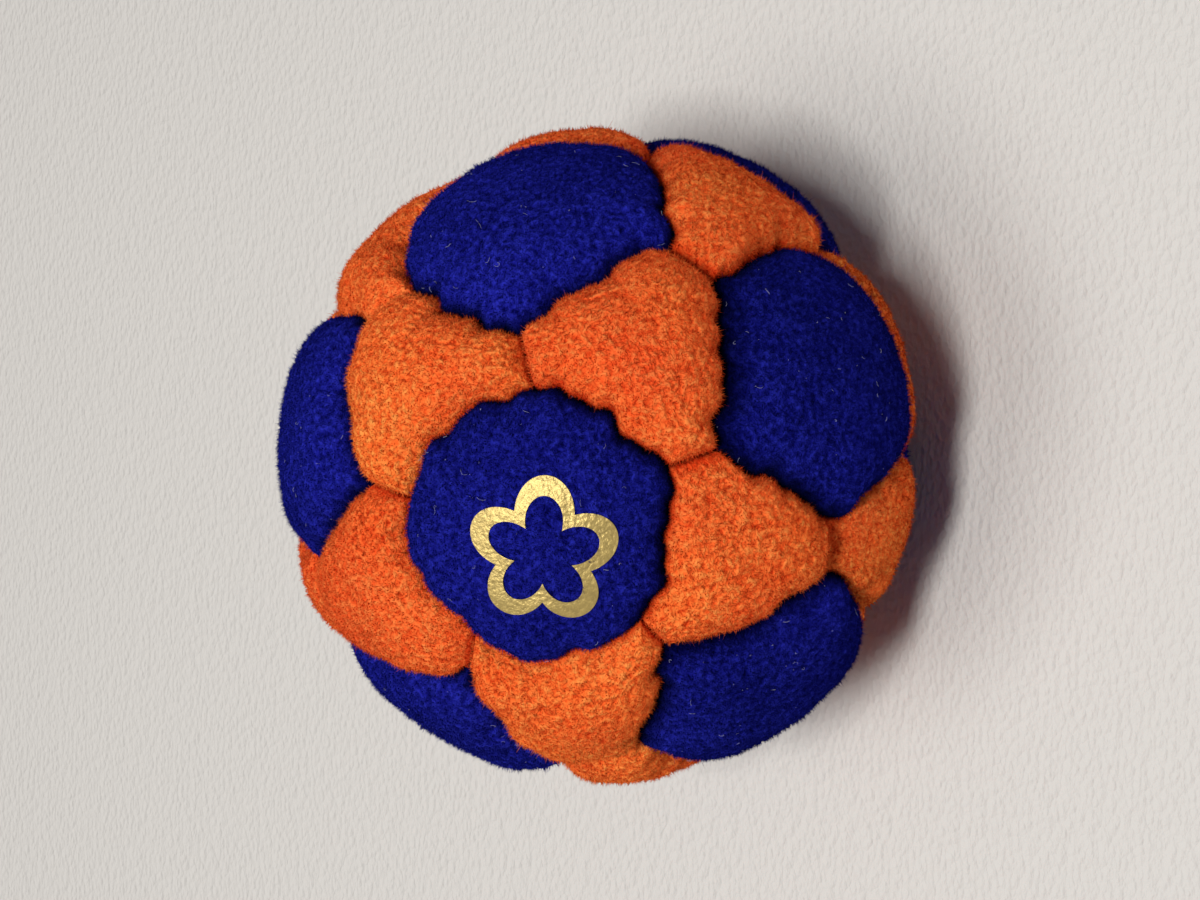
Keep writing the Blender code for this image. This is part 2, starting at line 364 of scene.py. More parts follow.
class FootbagSizes(bpy.types.PropertyGroup):
    nap_length: length_setting("Nap length", "Length of a fibre of the suede's nap", 0.34 * MM)
    nap_width: length_setting("Nap width", "Width of a tuft of fibres at its root", 0.075 * MM)
    nap_spacing: length_setting(
        "Nap spacing", "Mean distance between the roots of two tufts", 0.23 * MM
    )
    tuft_relief: length_setting("Tuft relief", "Height of the suede's grain", 0.11 * MM)
    swell_relief: length_setting(
        "Swell relief", "Height of the soft unevenness that the pellets give the panels", 0.18 * MM
    )
    stitch_pull: length_setting(
        "Stitch pull",
        "Width of the pucker that each stitch draws into the panels beside it",
        0.14 * MM,
    )
    scallop: length_setting(
        "Scallop", "How far the seam's line wanders between the stitches that hold it", 0.45 * MM
    )


class FootbagColours(bpy.types.PropertyGroup):
    blue: colour_setting("Blue", "Blue suede", (0.0062, 0.0078, 0.185, 1))
    orange: colour_setting("Orange", "Orange suede", (0.97, 0.120, 0.025, 1))
    foil: colour_setting("Foil", "Gold foil", (0.60, 0.445, 0.15, 1))
    thread: colour_setting("Thread", "Sewing thread", (0.30, 0.03, 0.01, 1))
    pellets: colour_setting("Pellets", "Plastic pellets", (0.70, 0.70, 0.68, 1))
    floor: colour_setting("Floor", "Pale floor", (0.72, 0.705, 0.675, 1))


def sizes():
    return bpy.context.scene.footbag_sizes


def colours():
    return bpy.context.scene.footbag_colours


# The pattern of panels and seams


def unit(vectors):
    return vectors / np.linalg.norm(vectors, axis=-1, keepdims=True)


def blue_middles():
    """The directions of the twelve blue panels, which are an icosahedron's corners."""
    found = []
    for near in (1, -1):
        for far in (GOLDEN_RATIO, -GOLDEN_RATIO):
            for corner in ((0, near, far), (near, far, 0), (far, 0, near)):
                found.append(LIE @ Vector(corner).normalized())
    return found


def neighbours_of(blues, i):
    """The five blue panels next to panel i, in anticlockwise order seen from outside."""
    middle = blues[i]
    across = middle.orthogonal().normalized()
    up = middle.cross(across)
    near = [j for j in range(len(blues)) if j != i and blues[j].dot(middle) > 0]
    return sorted(near, key=lambda j: math.atan2(blues[j].dot(up), blues[j].dot(across)))


def seam_corners(blues, chance):
    """The sixty directions where three panels meet, each a little off its even place."""
    corners = {}
    for i, middle in enumerate(blues):
        for j in neighbours_of(blues, i):
            even = middle.lerp(blues[j], CORNER_SHARE).normalized()
            drift = Vector([chance.uniform(-1, 1) for _ in even]) * (CORNER_DRIFT / SEAM_RADIUS)
            shift = Vector(CORNER_SHIFTS_MM.get((i, j), (0, 0, 0))) * (MM / SEAM_RADIUS)
            corners[i, j] = ((even + drift).normalized() + shift).normalized()
    return corners


class Stitching:
    """How the stitches of a seam pucker the panels beside it and make its line wander."""

    def __init__(self, start, end):
        chance = random.Random(f"stitches {sorted((start, end))}")
        self.is_long = start[0] == end[0]
        self.is_turned = start > end
        self.phase = chance.uniform(-0.5, 0.5)
        self.pull = chance.uniform(*STITCH_PULLS)
        self.waves = []
        for count in WAVES_PER_LONG_SEAM:
            phase = chance.uniform(0, 2 * math.pi)
            self.waves.append((count, phase, chance.uniform(*WAVE_HEIGHTS) / math.sqrt(count)))
        self.ease = chance.uniform(*SHORT_SEAM_EASES)
        self.sides = (start[0], *sorted((start[1], end[1])))
        self.rise = SEEN_BOWS_MM.get(self.sides, SEAM_BOW / MM) * MM

    def pucker(self, share):
        """From 0 between stitches to this seam's own pull at each of them."""
        share = 1 - share if self.is_turned else share
        turns = share * STITCHES_PER_LONG_SEAM + self.phase
        return self.pull * (0.5 + 0.5 * np.cos(2 * math.pi * turns)) ** 2

    def bow(self, share):
        """The angle by which the seam has bowed out of its blue panel, with its wandering."""
        if not self.is_long:
            return np.zeros_like(share)
        turned = 1 - share if self.is_turned else share
        wave = sum(
            height * np.sin(2 * math.pi * count * turned + phase)
            for count, phase, height in self.waves
        )
        inside = 1 - (2 * share - 1) ** 2
        wander = sizes().scallop * wave * np.minimum(inside * WANDER_TAPER, 1)
        return (self.rise * inside + wander) / SEAM_RADIUS


class Seam:
    """One side of a panel, from corner to corner, and how far directions lie from it."""

    def __init__(self, corners, start, end, is_blue, third):
        self.is_long = start[0] == end[0]
        self.bow_sign = (1 if is_blue else -1) if self.is_long else 0
        self.first = np.array(corners[start])
        self.last = np.array(corners[end])
        self.normal = unit(np.cross(self.first, self.last))
        self.angle = math.acos(np.clip(self.first @ self.last, -1, 1))
        self.stitching = Stitching(start, end)
        if not self.is_long:
            pair = tuple(sorted(start))
            self.ease = SEEN_SHORT_EASES.get((pair, third), self.stitching.ease)
        elif is_blue:
            self.ease = SEEN_BLUE_EASES.get(self.stitching.sides, BLUE_SEAM_EASE)
        else:
            self.ease = ORANGE_SEAM_EASE

    def share_along(self, directions):
        along = np.arctan2(
            directions @ np.cross(self.normal, self.first), directions @ self.first
        )
        return np.clip(along / self.angle, 0, 1)

    def point(self, share):
        """The directions on the seam at these shares of its length."""
        share = np.asarray(share)[:, None]
        chord = (
            self.first * np.sin((1 - share) * self.angle)
            + self.last * np.sin(share * self.angle)
        ) / math.sin(self.angle)
        return unit(chord - self.normal * self.bow_sign * self.stitching.bow(share))

    def distance(self, directions, pull):
        """How far directions are from the seam, less what its stitches draw in, in metres."""
        share = self.share_along(directions)
        angle = np.arcsin(np.clip(directions @ self.normal, -1, 1))
        apart = (angle + self.bow_sign * self.stitching.bow(share)) * SEAM_RADIUS
        if not self.is_long:
            return apart * self.ease
        drawn = pull * self.stitching.pucker(share)
        return (apart - drawn * np.exp(-((apart / (PUCKER_REACH * pull)) ** 2))) * self.ease


class Panel:
    """One panel: its seams in anticlockwise order and its middle."""

    def __init__(self, corners, names, is_blue, crown):
        self.crown = crown
        self.is_blue = is_blue
        self.number = tuple(sorted({i for i, _ in names}))
        warmth = random.Random(f"warmth {self.number}").uniform(*WARMTHS)
        self.warmth = SEEN_WARMTHS.get(self.number, warmth)
        self.seams = [
            Seam(corners, start, end, is_blue, sum({i for i, _ in names} - {start[0], end[0]}))
            for start, end in zip(names, names[1:] + names[:1])
        ]
        self.middle = unit(sum(np.array(corners[name]) for name in names))
        self.tips = [unit(np.array(corners[i, j]) + np.array(corners[j, i])) for i, j in names]

    def seam_distance(self, directions, pull):
        """How far directions are from the panel's seams, eased where two seams are near."""
        nearness = 0
        for seam in self.seams:
            distance = np.maximum(seam.distance(directions, pull), LEAST_DISTANCE)
            nearness = nearness + (distance / FINE_SHOULDER_WIDTH) ** -CORNER_POWER
        return nearness ** (-1 / CORNER_POWER) * FINE_SHOULDER_WIDTH

    def skin_radius(self, directions, pull):
        """From the middle of the bag to the outside of the suede."""
        rest = 1 - np.minimum(self.seam_distance(directions, pull) / FINE_SHOULDER_WIDTH, 1)
        rise = (1 - rest**FINE_SHOULDER_POWER) ** (1 / FINE_SHOULDER_POWER)
        return self.crown - FINE_SEAM_DEPTH * (1 - rise)


def make_panels():
    """The twelve blue panels, then the twenty orange ones, in the order of the solids' names."""
    chance = random.Random(UNEVENNESS_SEED)
    blues = blue_middles()
    corners = seam_corners(blues, chance)
    blue, orange = [], []
    for i in range(len(blues)):
        names = [(i, j) for j in neighbours_of(blues, i)]
        crown = CROWN_RADIUS + chance.uniform(-CROWN_DRIFT, CROWN_DRIFT)
        crown += SEEN_CROWN_RISES_MM.get((i,), 0) * MM
        blue.append(Panel(corners, names, True, crown))
    for i, j, k in combinations(range(len(blues)), 3):
        if min(blues[i].dot(blues[j]), blues[j].dot(blues[k]), blues[k].dot(blues[i])) < 0:
            continue
        if blues[i].cross(blues[j]).dot(blues[k]) < 0:
            j, k = k, j
        names = [(i, j), (j, i), (j, k), (k, j), (k, i), (i, k)]
        crown = CROWN_RADIUS + chance.uniform(-CROWN_DRIFT, CROWN_DRIFT)
        crown += SEEN_CROWN_RISES_MM.get(tuple(sorted((i, j, k))), 0) * MM
        orange.append(Panel(corners, names, False, crown))
    return blue, orange


def placed(directions, radius):
    """Points of the slumped bag where it lies, in the frame of its solids."""
    points = directions * np.broadcast_to(radius, directions.shape[:1])[:, None]
    return points * (1, 1, SETTLED_SHARE) + (0, 0, MIDDLE_HEIGHT)


def pressed(points, level):
    """Points laid flat where they would go below a level."""
    points = points.copy()
    points[:, 2] = np.maximum(points[:, 2], level)
    return points


def grain(points, size, seed):
    """Smooth noise from -1 to 1 whose lumps are about this size."""
    shift = Vector((seed * 7.31, seed * 3.17, seed * 1.93))
    scale = 1 / size
    return np.array([noise.noise(Vector(p) * scale + shift) for p in points])


def mesh_from(bm, name, material):
    """A smooth mesh of what is in bm, which is freed."""
    mesh = bpy.data.meshes.new(name)
    bm.to_mesh(mesh)
    bm.free()
    mesh.shade_smooth()
    mesh.materials.append(material)
    return mesh


def add_piece(mesh, solid):
    """Puts a mesh in the scene as the visual piece of a solid."""
    piece = bpy.data.objects.new(mesh.name, mesh)
    bpy.context.scene.collection.objects.link(piece)
    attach(piece, "root")
    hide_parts(solid)
    return piece


# The suede panels


def fan_of(panel, cuts):
    """A fine triangle mesh over the panel's corners, as directions from the middle of the bag."""
    bm = bmesh.new()
    middle = bm.verts.new(panel.middle)
    ring = [bm.verts.new(seam.first) for seam in panel.seams]
    for n, vert in enumerate(ring):
        bm.faces.new((vert, ring[(n + 1) % len(ring)], middle))
    bmesh.ops.subdivide_edges(bm, edges=bm.edges[:], cuts=cuts, use_grid_fill=True)
    bmesh.ops.triangulate(bm, faces=bm.faces[:])
    return bm


def shape_fan(bm, panel):
    """The directions of the fan's vertices once its rim follows the bowed seams."""
    flat = np.array([vert.co for vert in bm.verts])
    moved = np.zeros_like(flat)
    left = np.ones(len(flat), bool)
    reach = 1 - SEAM_GAP / 2 / FINE_SHOULDER_WIDTH
    for seam in panel.seams:
        shares = flat @ np.linalg.inv(np.array([seam.first, seam.last, panel.middle]))
        inside = left & (shares.min(1) > -ON_EDGE)
        near = shares[inside, :2].sum(1)
        turn = shares[inside, 1] / np.maximum(near, AT_MIDDLE)
        along = np.where(near > AT_MIDDLE, turn, 0.5)
        rim = seam.point(along)
        share = (near * reach)[:, None]
        moved[inside] = panel.middle * (1 - share) + rim * share
        left &= ~inside
    return unit(moved)


def rim_extruded(bm, edges, place):
    """Extrudes the open rim once and moves what is new by a rule for its directions."""
    made = bmesh.ops.extrude_edge_only(bm, edges=edges)["geom"]
    verts = [item for item in made if isinstance(item, bmesh.types.BMVert)]
    old = np.array([vert.co for vert in verts])
    for vert, point in zip(verts, place(old)):
        vert.co = point
    return [item for item in made if isinstance(item, bmesh.types.BMEdge)]


def close_underside(bm, panel, pull):
    """Turns the edge in as a hem, and closes the sheet on the side of the pellets."""
    middle = panel.middle

    def inner_radius(directions):
        return panel.skin_radius(directions, pull) - SUEDE_THICKNESS

    def hem(points):
        directions = unit(points)
        inward = unit(middle - directions * (directions @ middle)[:, None])
        return unit(directions + inward * (SUEDE_THICKNESS / SEAM_RADIUS)) * FINE_RIM_RADIUS

    def inner_rim(points):
        directions = unit(points)
        return directions * inner_radius(directions)[:, None]

    edges = [edge for edge in bm.edges if edge.is_boundary]
    for place in (hem, inner_rim):
        edges = rim_extruded(bm, edges, place)
    for share in INNER_RING_SHARES:

        def ring(points, share=share):
            directions = unit(middle * (1 - share) + unit(points) * share)
            return directions * inner_radius(directions)[:, None]

        edges = rim_extruded(bm, edges, ring)
    lid = bmesh.ops.contextual_create(bm, geom=edges)["faces"]
    made = bmesh.ops.poke(bm, faces=lid)
    crown = inner_radius(middle[None])[0]
    for vert in made["verts"]:
        vert.co = middle * crown
    bmesh.ops.triangulate(bm, faces=bm.faces[:])


def relief(points, seed):
    """The grain's height, from -1 to 1: tufts with pits between them."""
    coarse = grain(points, TUFT_SIZE, seed)
    fine = grain(points, TUFT_SIZE / 2, seed + 1)
    return np.clip(COARSE_GRAIN * coarse + FINE_GRAIN * fine, -1, 1)


def fibres(roots, normals, leans, lengths, widths, chance):
    """Little three-sided spikes. Each is four points: three at its root and one at its tip."""
    turn = chance.uniform(0, 2 * math.pi, len(roots))
    aside = unit(np.cross(normals, unit(chance.normal(size=normals.shape))))
    ahead = np.cross(normals, aside)
    tips = roots + (normals + leans) * lengths[:, None]
    sunk = roots - normals * (lengths * FIBRE_ROOT)[:, None]
    base = []
    for n in range(3):
        angle = turn + n * 2 * math.pi / 3
        offset = aside * np.cos(angle)[:, None] + ahead * np.sin(angle)[:, None]
        base.append(sunk + offset * widths[:, None] / 2)
    verts = np.stack([*base, tips], axis=1).reshape(-1, 3)
    corner = np.arange(len(roots))[:, None, None] * 4
    faces = corner + np.array([(0, 1, 3), (1, 2, 3), (2, 0, 3), (2, 1, 0)])
    return verts, faces.reshape(-1, 3)


def lint(roots, normals, chance):
    """Pale fibres that cling to the nap. Each is a thin bent tube of three sides."""
    count = len(roots)
    heading = unit(np.cross(normals, chance.normal(size=normals.shape)))
    points = [roots + normals * sizes().nap_length * LINT_HEIGHT]
    share = chance.uniform(*LINT_LENGTHS, count)[:, None] ** LINT_LENGTH_POWER
    step = share * LINT_LENGTH / (LINT_POINTS - 1)
    turn = chance.normal(scale=LINT_BEND, size=count)[:, None]
    for _ in range(LINT_POINTS - 1):
        turn = turn + chance.normal(scale=LINT_WAVER, size=(count, 1))
        aside = np.cross(normals, heading)
        lift = chance.normal(scale=LINT_RISE, size=(count, 1)) * normals
        heading = unit(heading + aside * np.tan(turn / 2) + lift)
        points.append(points[-1] + heading * step)
    widths = chance.uniform(*LINT_WIDTHS, count)[:, None] * LINT_WIDTH / 2
    rings = []
    for n, point in enumerate(points):
        ahead = points[min(n + 1, LINT_POINTS - 1)] - points[max(n - 1, 0)]
        side = unit(np.cross(ahead, normals))
        over = unit(np.cross(side, ahead))
        for k in range(3):
            angle = 2 * math.pi * k / 3
            rings.append(point + (side * math.cos(angle) + over * math.sin(angle)) * widths)
    verts = np.stack(rings, axis=1).reshape(-1, 3)
    faces = [(2, 1, 0), tuple(3 * (LINT_POINTS - 1) + k for k in range(3))]
    for n in range(LINT_POINTS - 1):
        for k in range(3):
            a, b = 3 * n + k, 3 * n + (k + 1) % 3
            faces += [(a, b, b + 3), (a, b + 3, a + 3)]
    starts = np.arange(count)[:, None, None] * len(points) * 3
    return verts, (starts + np.array(faces)).reshape(-1, 3)


def thread_route(panel):
    """A thread's way along a blue panel's long seams, out and back over half of each short one."""
    half_lane = (THREAD_DIAMETER + THREAD_GAP) / 2 / THREAD_RADIUS
    route = []
    for seam, tip in zip(panel.seams, panel.tips):
        along = unit(tip - seam.first)
        aside = np.cross(tip, along)
        bend = tip - along * THREAD_BEND * half_lane
        route += [bend - aside * half_lane, bend + along * half_lane, bend + aside * half_lane]
        lead = THREAD_LEAD_SHARE
        route += list(seam.point(np.linspace(lead, 1 - lead, THREAD_POINTS_PER_SEAM)))
    return unit(np.array(route)) * THREAD_RADIUS


def evenly_spaced(points, step):
    """Points along a closed line, its bends rounded, at about this spacing."""
    for _ in range(THREAD_ROUNDINGS):
        after = np.roll(points, -1, axis=0)
        cut = [points * 0.75 + after * 0.25, points * 0.25 + after * 0.75]
        points = np.stack(cut, axis=1).reshape(-1, 3)
    closed = np.concatenate([points, points[:1]])
    lengths = np.linalg.norm(np.diff(closed, axis=0), axis=1)
    along = np.concatenate([[0], np.cumsum(lengths)])
    places = np.linspace(0, along[-1], round(along[-1] / step), endpoint=False)
    return np.stack([np.interp(places, along, closed[:, axis]) for axis in range(3)], axis=1)


def twisted_rings(route):
    """The outlines of a thread of several plies that runs along a closed route."""
    ahead = unit(np.roll(route, -1, axis=0) - np.roll(route, 1, axis=0))
    aside = unit(np.cross(ahead, route))
    over = np.cross(aside, ahead)
    turns = round(len(route) * THREAD_STEP / THREAD_LAY)
    phase = np.arange(len(route))[:, None] * 2 * math.pi * turns / len(route)
    angle = np.arange(THREAD_SIDES)[None] * 2 * math.pi / THREAD_SIDES
    lobes = np.abs(np.cos(THREAD_PLIES / 2 * (angle - phase)))
    reach = (THREAD_DIAMETER / 2 * (1 - PLY_DEPTH_SHARE * (1 - lobes)))[:, :, None]
    angle = angle[:, :, None]
    offset = aside[:, None] * np.cos(angle) + over[:, None] * np.sin(angle)
    return route[:, None] + offset * reach


def mark_reach(angle):
    """How far the mark's outline is from its middle at this angle."""
    return MARK_RADIUS - PETAL_DEPTH * (1 - np.abs(np.cos(PETALS * angle / 2)))


def mark_axes():
    """The mark's middle on the first blue panel, and the directions down and aside of it there."""
    blue, _ = make_panels()
    middle = Vector(blue[0].middle)
    downward = (middle * middle.z - Vector((0, 0, 1))).normalized()
    aside = downward.cross(middle)
    centre = middle + (downward * MARK_DROP + aside * MARK_ASIDE) / CROWN_RADIUS
    return np.array(centre), np.array(downward), np.array(aside)


def under_mark(points):
    """Which points of the first blue panel lie under the mark's foil."""
    centre, downward, aside = mark_axes()
    directions = unit((points - (0, 0, MIDDLE_HEIGHT)) / (1, 1, SETTLED_SHARE))
    offset = (directions - unit(centre)) * CROWN_RADIUS
    x, y = offset @ aside, -offset @ downward
    reach = mark_reach(np.arctan2(x, y))
    radius = np.hypot(x, y)
    return (radius < reach + FIBRE_CLEARANCE) & (radius > reach - MARK_STROKE - FIBRE_CLEARANCE)


def grow_nap(verts, faces, pile, panel_number):
    """Tufts of fibres all over the outer skin, leaning with the brush of the nap."""
    chance = np.random.default_rng(panel_number)
    corners = verts[faces]
    cross = np.cross(corners[:, 1] - corners[:, 0], corners[:, 2] - corners[:, 0])
    area = np.linalg.norm(cross, axis=1) / 2
    count = int(area.sum() / sizes().nap_spacing ** 2)
    chosen = chance.choice(len(faces), size=count, p=area / area.sum())
    spread = np.sqrt(chance.uniform(size=count))
    slide = chance.uniform(size=count)
    weights = np.stack([1 - spread, spread * (1 - slide), spread * slide], axis=1)
    roots = (corners[chosen] * weights[:, :, None]).sum(1)
    if panel_number == MARKED_PANEL:
        bare = under_mark(roots)
        roots, chosen, weights = roots[~bare], chosen[~bare], weights[~bare]
        count = len(roots)
    normals = unit(cross[chosen])
    height, painted_seam_shade, _, warmth = (pile[faces[chosen]] * weights[:, :, None]).sum(1).T
    gather = np.stack(
        [
            grain(roots + step, TUFT_SIZE, GRAIN_SEED) - grain(roots - step, TUFT_SIZE, GRAIN_SEED)
            for step in np.eye(3) * GATHER_STEP
        ],
        axis=1,
    )
    brush = np.stack([grain(roots, SWELL_SIZE, BRUSH_SEED + axis) for axis in range(3)], axis=1)
    loose = chance.normal(scale=LOOSE_LEAN, size=roots.shape)
    leans = GATHER_LEAN * gather + BRUSH_LEAN * brush + loose
    leans -= normals * (leans * normals).sum(1, keepdims=True)
    lengths = sizes().nap_length * chance.uniform(*FIBRE_LENGTHS, count)
    lengths *= PIT_LENGTH + TUFT_LENGTH * height
    stray = chance.uniform(size=count) < STRAY_SHARE
    lengths *= np.where(stray, STRAY_LENGTH, 1)
    widths = sizes().nap_width * chance.uniform(*FIBRE_WIDTHS, count)
    widths *= np.where(stray, STRAY_WIDTH, 1)
    nap_verts, nap_faces = fibres(roots, normals, leans, lengths, widths, chance)
    # The fibres' tone: painted shade, darker in the pits and at each root, paler tips as painted
    # light, with a random part
    loose = chance.normal(scale=LOOSE_TONE, size=count)
    tone = np.clip(PIT_TONE + TUFT_TONE * height + loose, 0, 1)
    tip_tone = TIP_TONES[0] + tone * TIP_TONES[1]
    nap_pile = np.stack([tone * ROOT_TONE] * 3 + [tip_tone], axis=1).reshape(-1)
    nap_pile = np.stack(
        [nap_pile, np.repeat(painted_seam_shade, 4), np.zeros(4 * count), np.repeat(warmth, 4)], axis=1
    )
    if panel_number <= BLUE_PANELS:
        few = chance.choice(count, LINT_PER_PANEL, replace=False)
        lint_verts, lint_faces = lint(roots[few], normals[few], chance)
        nap_faces = np.concatenate([nap_faces, lint_faces + len(nap_verts)])
        nap_verts = np.concatenate([nap_verts, lint_verts])
        nap_pile = np.concatenate([nap_pile, np.ones((len(lint_verts), 4))])
    nap_verts[:, 2] = np.maximum(nap_verts[:, 2], 0)
    return nap_verts, nap_faces, nap_pile


def suede_mesh(panel, name, number, material):
    """The closed mesh of one panel: pillowed skin with grain, a hem and its nap."""
    pull = sizes().stitch_pull
    bm = fan_of(panel, BLUE_CUTS if panel.is_blue else ORANGE_CUTS)
    directions = shape_fan(bm, panel)
    radius = panel.skin_radius(directions, pull)
    for vert, point in zip(bm.verts, directions * radius[:, None]):
        vert.co = point
    outer_count = len(bm.verts)
    outer_faces = len(bm.faces)
    close_underside(bm, panel, pull)
    bm.verts.index_update()
    coords = np.array([vert.co for vert in bm.verts])
    faces = np.array([[vert.index for vert in face.verts] for face in bm.faces])
    bm.free()

    skin = coords[:outer_count]
    height = relief(skin, GRAIN_SEED)
    swell = grain(skin, SWELL_SIZE, SWELL_SEED)
    from_seam = panel.seam_distance(unit(skin), pull)
    edge = np.clip(from_seam / RELIEF_REACH, 0, 1)
    rise = (height * sizes().tuft_relief + swell * sizes().swell_relief) * edge
    coords[:outer_count] = skin + unit(skin) * rise[:, None]
    pile = np.zeros((len(coords), 4))
    # Painted shade and light: the skin is darker in the grain's pits and paler on its tufts
    pile[:outer_count, 0] = 0.5 + 0.5 * height
    # Painted shade that darkens the suede near the seams
    pile[:outer_count, 1] = np.clip(from_seam / SEAM_SHADE, 0, 1)
    # The panel's warmth, partly painted light on the lit panels, with random swathes
    swathe = SWATHE_SHARE * grain(skin, SWATHE_SIZE, SWATHE_SEED)
    pile[:outer_count, 3] = np.clip(panel.warmth + swathe, 0, 1)

    verts = placed(unit(coords), np.linalg.norm(coords, axis=1))
    level = np.full(len(verts), SUEDE_THICKNESS)
    level[:outer_count] = 0
    verts = pressed(verts, level)
    nap_verts, nap_faces, nap_pile = grow_nap(verts, faces[:outer_faces], pile, number)
    mesh = bpy.data.meshes.new(name)
    mesh.from_pydata(
        np.concatenate([verts, nap_verts]),
        [],
        np.concatenate([faces, nap_faces + len(verts)]),
    )
    for column, key in enumerate(("pile", "painted_seam_shade", "lint", "warmth")):
        attribute = mesh.attributes.new(key, "FLOAT", "POINT")
        values = np.concatenate([pile, nap_pile])[:, column]
        attribute.data.foreach_set("value", values.astype(np.float32))
    mesh.shade_smooth()
    mesh.materials.append(material)
    mesh.validate()
    return mesh


# Materials


def new_material(name):
    """A material with its Principled shader, and a function that adds a linked node."""
    material = bpy.data.materials.new(name)
    material.use_nodes = True
    tree = material.node_tree

    def node(kind, inputs=None, **settings):
        made = tree.nodes.new(kind)
        for key, value in settings.items():
            setattr(made, key, value)
        for key, value in (inputs or {}).items():
            socket = made.inputs[key]
            if isinstance(value, bpy.types.NodeSocket):
                tree.links.new(value, socket)
            else:
                socket.default_value = value
        return made

    return material, tree.nodes["Principled BSDF"], node, tree.links.new


def ramp(node, factor, stops):
    """A colour ramp's output, with its stops as pairs of a place and a colour."""
    made = node("ShaderNodeValToRGB", {"Fac": factor})
    made.color_ramp.elements[0].position = stops[0][0]
    made.color_ramp.elements[0].color = stops[0][1]
    made.color_ramp.elements[1].position = stops[-1][0]
    made.color_ramp.elements[1].color = stops[-1][1]
    for position, colour in stops[1:-1]:
        made.color_ramp.elements.new(position).color = colour
    return made.outputs["Color"]


def shaded(colour, share, tint=(1, 1, 1)):
    """The colour made darker or lighter by a share, and tinted."""
    return (*(min(c * share * t, 1) for c, t in zip(colour[:3], tint)), 1)


@dataclass
class NapLook:
    """How a suede's nap takes its colour: painted shade between tufts and in seams, paler tips as
    painted light, and a warmth that is partly painted light.
    """

    grain_size: float
    tones: tuple
    tints: tuple
    warmth_and_light_tints: tuple
    seam_shade_stops: tuple
    sheen_tint: tuple
    sheen: float


# How much each pattern adds to a suede's tone, and how its patterns are drawn, per metre
TONE_START = -0.60
# The pile adds painted shade in pits and at roots and painted light at tips, the cracks add painted
# shade between tufts, and the curls and patches add a random tone
PILE_WEIGHT = 0.60
CURL_WEIGHT = 1.15
CRACK_SHADE_WEIGHT = 0.24
PATCH_WEIGHT = 0.30
TONE_PLACES = (0.1, 0.38, 0.62, 1.0)
PATCHES = 170.0
CURL_DETAIL = 3.0
CURL_TWIST = 1.6
FOLD_SHARE = 0.8
FOLD_TWIST = 0.8
CRACK_SHARE = 0.045
SUEDE_BUMP = 0.2 * MM
# In each look the darkest tones and tints are painted shade, redder on the orange, and the palest
# are painted light
BLUE_NAP = NapLook(
    grain_size=0.42 * MM,
    tones=(0.3, 0.8, 1.18, 1.8),
    tints=((0.6, 0.6, 0.9), (0.9, 0.9, 1.0), (1.1, 1.1, 1.0), (1.6, 1.7, 1.15)),
    warmth_and_light_tints=((0.8, 0.8, 0.8, 1), (1.3, 1.25, 1.25, 1)),
    seam_shade_stops=((0.0, (0.04, 0.04, 0.04, 1)), (0.25, (0.2, 0.2, 0.2, 1)), (0.85, (1, 1, 1, 1))),
    sheen_tint=(0.02, 0.035, 0.22, 1),
    sheen=0.25,
)
ORANGE_NAP = NapLook(
    grain_size=0.56 * MM,
    tones=(0.55, 0.9, 1.07, 1.35),
    tints=((1.1, 0.4, 0.35), (1.02, 0.84, 0.8), (1.0, 1.12, 1.15), (1.0, 1.5, 1.8)),
    warmth_and_light_tints=((0.94, 0.76, 0.85, 1), (1.04, 1.5, 1.25, 1)),
    seam_shade_stops=((0.0, (0.5, 0.12, 0.1, 1)), (0.15, (0.92, 0.54, 0.5, 1)), (0.4, (1, 1, 1, 1))),
    sheen_tint=(0.9, 0.16, 0.06, 1),
    sheen=0.2,
)


